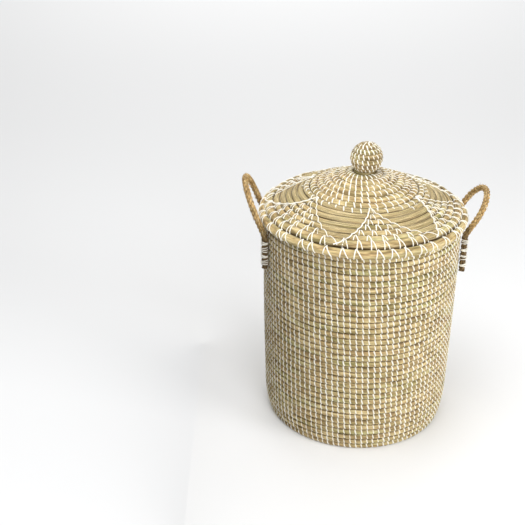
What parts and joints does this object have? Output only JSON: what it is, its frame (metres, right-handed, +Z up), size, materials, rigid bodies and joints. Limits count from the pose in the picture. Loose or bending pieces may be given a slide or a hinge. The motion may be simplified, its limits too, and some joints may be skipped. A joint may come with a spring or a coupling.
{
  "type": "lidded laundry basket",
  "caption": "Round coiled seagrass laundry basket with a coned lid, a ball knob, and a swinging rope loop handle on each side.",
  "frame": {"origin": "centre of the base, on the floor", "axes": "+Z up along the basket's axis, +X towards the right handle, -Y towards the front"},
  "size_m": [0.4436, 0.3764, 0.5377],
  "materials": {
    "seagrass_coil": "dried seagrass strands coiled in rows, matt with a faint sheen on each blade",
    "bare_seagrass": "long unstitched seagrass strands, straw gold, satin",
    "stuffing": "loose grass stuffing",
    "twisted_rope": "three strand twisted seagrass rope, golden brown, fibrous",
    "white_thread": "off white twisted plastic raffia thread"
  },
  "bodies": {
    "basket": {"base_start_coil": "seagrass_coil", "base_coil": "seagrass_coil", "base_stitching": "white_thread", "heel_coil": "seagrass_coil", "wall_coil": "seagrass_coil", "wall_stitching": "white_thread", "mouth_coil": "seagrass_coil", "left_front_leg": "twisted_rope", "left_rear_leg": "twisted_rope", "right_front_leg": "twisted_rope", "right_rear_leg": "twisted_rope", "left_front_lashing": "white_thread", "left_rear_lashing": "white_thread", "right_front_lashing": "white_thread", "right_rear_lashing": "white_thread"},
    "lid": {"lid_rim_coil": "seagrass_coil", "lid_rim_stitching": "white_thread", "lid_field_coil": "bare_seagrass", "lid_star_stitching": "white_thread", "lid_crown_coil": "seagrass_coil", "lid_crown_stitching": "white_thread", "lid_start_coil": "seagrass_coil", "lid_locating_coil": "seagrass_coil", "knob_core": "stuffing", "knob_coil": "seagrass_coil", "knob_stitching": "white_thread", "knob_anchor_stitches": "white_thread"},
    "handle_left": {"left_handle_loop": "twisted_rope"},
    "handle_right": {"right_handle_loop": "twisted_rope"}
  },
  "joints": [
    {"name": "lid_lift", "type": "slide", "parent": "basket", "child": "lid", "axis": [0, 0, 1], "range_m": [0, 0.25]},
    {"name": "handle_left_swing", "type": "hinge", "parent": "basket", "child": "handle_left", "pos_m": [-0.1773, 0, 0.38], "axis": [0, -1, 0], "range_deg": [-0.5, 56]},
    {"name": "handle_right_swing", "type": "hinge", "parent": "basket", "child": "handle_right", "pos_m": [0.1794, 0, 0.38], "axis": [0, 1, 0], "range_deg": [-10, 46]}
  ]
}
